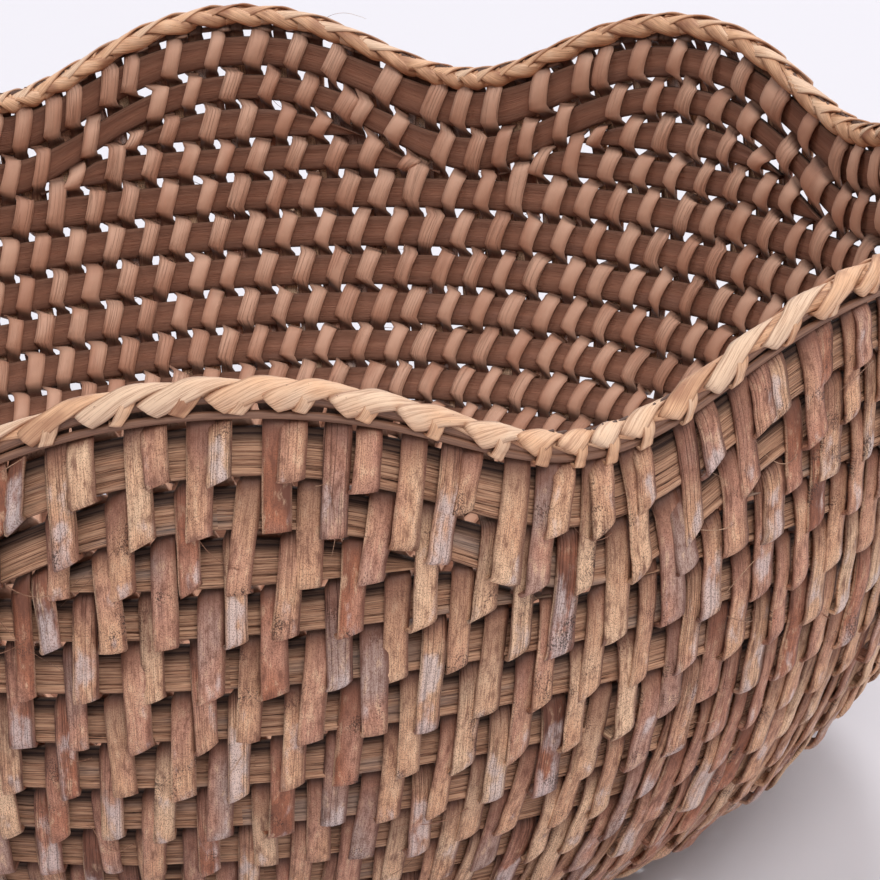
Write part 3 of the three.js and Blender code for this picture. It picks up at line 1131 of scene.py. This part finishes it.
# The way round the plait as a curve: straight up its outside from below, then over the
# top and down the inside. Place 0 is at the foot of the plait's outside.
def makeGuide():
    turns = np.radians(np.arange(*plait["guideTurns"]))
    out = plait["halfDepth"] * np.sin(turns)
    down = plait["middle"] + plait["halfHeight"] * np.cos(turns)
    out = np.concatenate([[out[0]], out])
    down = np.concatenate([[down[0] + plait["below"]], down])
    length = np.concatenate([[0], np.cumsum(np.hypot(np.diff(out), np.diff(down)))])
    length = length - plait["below"]
    aheadOut = np.gradient(out, length)
    aheadDown = np.gradient(down, length)
    aheadOut[0], aheadDown[0] = 0, -1
    size = np.hypot(aheadOut, aheadDown)
    return length, out, down, -aheadDown / size, aheadOut / size


guideAt, guideOut, guideDown, guideLiftOut, guideLiftDown = makeGuide()
girth = guideAt[-1]


def wrapAngle(number):
    deep = tau / plait["wraps"] * number
    return deep + closeUp(deep, plait["fan"], plait["fanCrowd"])


# Width of one wrap along the rim
def wrapPitch(number):
    return float((wrapAngle(number + 0.5) - wrapAngle(number - 0.5)) * bowl["rimRadius"])


# How far a wrap lies in a trough of the rim: 0 at the middle of a lobe
def wrapTrough(number):
    return (1 - math.cos(bowl["lobes"] * tau / plait["wraps"] * number)) / 2


# Points of a strap that starts at a place (along the rim, round the plait) and runs on at a
# slope: lengthwise and across in that plane, then lifted off the plait and laid round it
def strapPoints(wrap, start, slope, reach, half, cut, liftKeys, liftValues, along, across):
    half = half * (1 - plait["waist"] * np.exp(-((along * reach / girth - 0.55) / 0.24) ** 2))
    length = math.hypot(1, slope)
    dirU, dirV = 1 / length, slope / length
    lengthwise = along * reach - cut * across * (1 - along)
    u = start[0] + dirU * lengthwise - dirV * half * across
    v = start[1] + dirV * lengthwise + dirU * half * across
    lift = np.interp(lengthwise + cut * across * (1 - along), liftKeys, liftValues)
    lift = lift - plait["bow"] * across ** 2 + plait["tilt"] * across
    angle = wrapAngle(wrap + u / wrapPitch(wrap))
    out = np.interp(v, guideAt, guideOut) + lift * np.interp(v, guideAt, guideLiftOut)
    down = np.interp(v, guideAt, guideDown) + lift * np.interp(v, guideAt, guideLiftDown)
    return onWall(angle, rimLine(angle) + down, out)


# Straps as one mesh; their points lie closer at the folded end
def makeStraps(name, runs):
    ribbon, across, step = makeRibbon(plait["across"], plait["along"])
    along = (step / plait["along"]) ** 1.5
    bundle = Bundle()
    for index, run in enumerate(runs):
        weaveMap = [across * run["width"] / 2, along * run["length"] + index * 0.11]
        bundle.add(ribbon, run["place"](along, across), np.stack(weaveMap, axis=1),
                   tone=run["tone"], side=np.abs(across))
    return bundle.build(name)


# The three kinds of run. Each gives a function for its points, its width, length and shade.
def outerRun(k, rng):
    wrap = k + rng.gauss(0, 0.035)
    half = plait["strapWidth"] / 2 * rng.uniform(0.93, 1.07)
    span = plait["outerReach"] * wrapPitch(wrap)
    rise = girth - 1 * mm
    slope = rise / span * rng.uniform(0.94, 1.06)
    reach = math.hypot(span, rise)
    cut = plait["cut"] * rng.uniform(0.6, 1.3)
    low, more, spread = plait["outerStart"]
    start = (0.0, (low + more * wrapTrough(wrap) + rng.gauss(0, spread)) * mm)
    keys = np.array([0, 0.22 * mm, 0.6 * mm, 0.28 * reach, 0.46 * reach, 0.60 * reach, reach])
    values = np.array(plait["outerLift"]) * mm

    def place(along, across):
        return strapPoints(wrap, start, slope, reach, half, cut, keys, values, along, across)

    return {"place": place, "width": 2 * half, "length": reach, "tone": rng.random()}


def innerRun(k, rng):
    wrap = k + rng.gauss(0, 0.035)
    half = plait["innerWidth"] / 2 * rng.uniform(0.93, 1.07)
    pitch = wrapPitch(wrap)
    span = plait["innerReach"] * pitch
    rise = girth - 2 * mm
    reach = math.hypot(span, rise)
    start = (-0.9 * pitch, girth - 0.6 * mm)
    keys = np.array([0, 0.10, 0.36, 0.50, 0.62, 0.95, 1]) * reach
    values = np.array(plait["innerLift"]) * mm

    def place(along, across):
        return strapPoints(wrap, start, -rise / span, reach, half, 0.0, keys, values, along, across)

    # painted shade: the inner runs get only the darker tones, for the shade they lie in between the
    # outer runs
    return {"place": place, "width": 2 * half, "length": reach, "tone": rng.random() * 0.35}


def shortRun(k, rng):
    wrap = k + 0.42 - 0.07 * wrapTrough(k) + rng.gauss(0, 0.03)
    half = plait["shortWidth"] / 2 * rng.uniform(0.85, 1.15)
    trough = wrapTrough(wrap)
    low, more, spread = plait["shortTurn"]
    turn = math.radians(low + more * trough + rng.gauss(0, spread))
    reach = plait["shortReach"][0] + plait["shortReach"][1] * trough
    low, more, spread = plait["shortStart"]
    start = (0.0, (low + more * trough + rng.gauss(0, spread)) * mm)
    cut = plait["shortCut"] * (1 - trough) * rng.uniform(0.6, 1.4)
    slope = math.tan(turn)
    keys = np.array([0, 0.25, 0.7, 3.5, 7.0]) * mm
    values = np.array(plait["shortLift"]) * mm

    def place(along, across):
        return strapPoints(wrap, start, slope, reach, half, cut, keys, values, along, across)

    return {"place": place, "width": 2 * half, "length": reach, "tone": rng.random() * 0.6}


def makePlait():
    rng = random.Random(plait["seed"])
    wraps = range(plait["wraps"])
    kinds = (("plait_outer", outerRun), ("plait_inner", innerRun), ("plait_short", shortRun))
    for name, run in kinds:
        mesh = makeStraps(name, [run(k, rng) for k in wraps])
        piece = addPiece(name, mesh, plaitMaterial, ["rim_braid"])
        solidify(piece, plait["thickness"])


# The bundle of cane ends inside the plait, seen as dark between its runs
def makePlaitHeart():
    section = circleOf(plait["heartSides"])
    mesh, angle, out, height = spinRing("plait_heart", section, tau, plait["heartSteps"])
    halfDepth = plait["halfDepth"] - plait["heartInset"]
    halfHeight = plait["halfHeight"] - plait["heartInset"]
    distance = rimLine(angle) + plait["middle"] - height * halfHeight
    setPoints(mesh, onWall(angle, distance, out * halfDepth))
    mapRing(mesh, angle, distance, height * plait["halfHeight"])
    addPiece("plait_heart", mesh, rodMaterial, ["rim_braid"])


makePlait()
makePlaitHeart()
print("stage: plait sewn")

# Camera, as in the photograph: its place from the middle of the rim in rim radii, its
# angles, and how far the basket is turned
view = {
    "distance": 3.5963,
    "height": 0.8658,
    "side": 0.1453,
    "yaw": 0.0337,
    "pitch": 0.3325,
    "roll": -0.0450,
    "turn": 0.011,
    "focalPixels": 2811,
    "imagePixels": 880,
    "sensor": 36,
    "clipEnd": 20,
}


def makeCamera():
    yaw, pitch, roll = view["yaw"], view["pitch"], view["roll"]
    level = math.cos(pitch)
    ahead = Vector((math.sin(yaw) * level, math.cos(yaw) * level, -math.sin(pitch)))
    right = Vector((math.cos(yaw), -math.sin(yaw), 0))
    up = right.cross(ahead)
    right, up = (right * math.cos(roll) + up * math.sin(roll),
                 up * math.cos(roll) - right * math.sin(roll))
    place = Vector((view["side"], -view["distance"], view["height"]))
    stand = Matrix((right, up, -ahead)).transposed().to_4x4()
    stand.translation = place * bowl["rimRadius"]
    turned = Matrix.Rotation(-view["turn"], 4, "Z") @ stand
    turned.translation.z += bowl["rimHeight"]
    lens = bpy.data.cameras.new("camera")
    lens.sensor_width = view["sensor"]
    lens.lens = view["focalPixels"] / view["imagePixels"] * lens.sensor_width
    lens.clip_end = view["clipEnd"]
    camera = bpy.data.objects.new("camera", lens)
    camera.matrix_world = turned
    bpy.context.scene.collection.objects.link(camera)
    bpy.context.scene.camera = camera


# The pale table and the white room
stage = {
    "floorColour": (0.725, 0.71, 0.755),
    "worldColour": (1.0, 0.985, 0.99),
    "worldStrength": 0.37,
    "backdropColour": (0.888, 0.863, 0.913),
    "floorRoughness": 0.6,
    "floorSize": 3.0,
}


def makeFloor():
    bm = bmesh.new()
    bmesh.ops.create_grid(bm, x_segments=1, y_segments=1, size=stage["floorSize"])
    mesh = bpy.data.meshes.new("floor")
    bm.to_mesh(mesh)
    bm.free()
    floor = bpy.data.objects.new("studio_floor", mesh)
    bpy.context.scene.collection.objects.link(floor)
    recipe = Recipe("pale_table")
    recipe.shader.inputs["Base Color"].default_value = (*stage["floorColour"], 1)
    recipe.shader.inputs["Roughness"].default_value = stage["floorRoughness"]
    mesh.materials.append(recipe.material)


def makeWorld():
    world = bpy.data.worlds.new("studio")
    bpy.context.scene.world = world
    world.use_nodes = True
    tree = world.node_tree
    tree.nodes.clear()
    output = tree.nodes.new("ShaderNodeOutputWorld")
    soft = tree.nodes.new("ShaderNodeBackground")
    soft.inputs["Color"].default_value = (*stage["worldColour"], 1)
    soft.inputs["Strength"].default_value = stage["worldStrength"]
    white = tree.nodes.new("ShaderNodeBackground")
    white.inputs["Color"].default_value = (*stage["backdropColour"], 1)
    white.inputs["Strength"].default_value = 1.0
    path = tree.nodes.new("ShaderNodeLightPath")
    seen = tree.nodes.new("ShaderNodeMath")
    seen.operation = "MAXIMUM"
    tree.links.new(path.outputs["Is Camera Ray"], seen.inputs[0])
    tree.links.new(path.outputs["Is Glossy Ray"], seen.inputs[1])
    mixed = tree.nodes.new("ShaderNodeMixShader")
    tree.links.new(seen.outputs[0], mixed.inputs["Fac"])
    tree.links.new(soft.outputs[0], mixed.inputs[1])
    tree.links.new(white.outputs[0], mixed.inputs[2])
    tree.links.new(mixed.outputs[0], output.inputs["Surface"])


# Lamps far off, in the direction of their place; the window throws the sharpest shadow
lamps = (
    {"name": "left_window", "place": (-1.35, -0.75, 1.5), "spread": math.radians(26), "power": 0.52,
     "colour": (0.96, 0.985, 1.03)},
    {"name": "skylight", "place": (0.30, -1.15, 1.45), "spread": math.radians(28), "power": 1.46,
     "colour": (1.0, 0.985, 0.98)},
    {"name": "window", "place": (0.6, 0.98, 1.9), "spread": math.radians(9), "power": 1.04,
     "colour": (0.97, 0.98, 1.0)},
    {"name": "right_fill", "place": (1.3, 0.1, 1.2), "spread": math.radians(60), "power": 0.62,
     "colour": (1.0, 0.985, 0.99)},
)


def makeLamps():
    aim = Vector((0, 0, 80 * mm))
    for lamp in lamps:
        light = bpy.data.lights.new(lamp["name"], "SUN")
        light.angle = lamp["spread"]
        light.energy = lamp["power"]
        light.color = lamp["colour"]
        holder = bpy.data.objects.new(lamp["name"], light)
        holder.location = lamp["place"]
        holder.rotation_euler = (aim - holder.location).to_track_quat("-Z", "Y").to_euler()
        bpy.context.scene.collection.objects.link(holder)


makeCamera()
makeFloor()
makeWorld()
makeLamps()
bpy.context.scene.view_settings.view_transform = "Standard"
print("stage: camera and light set")
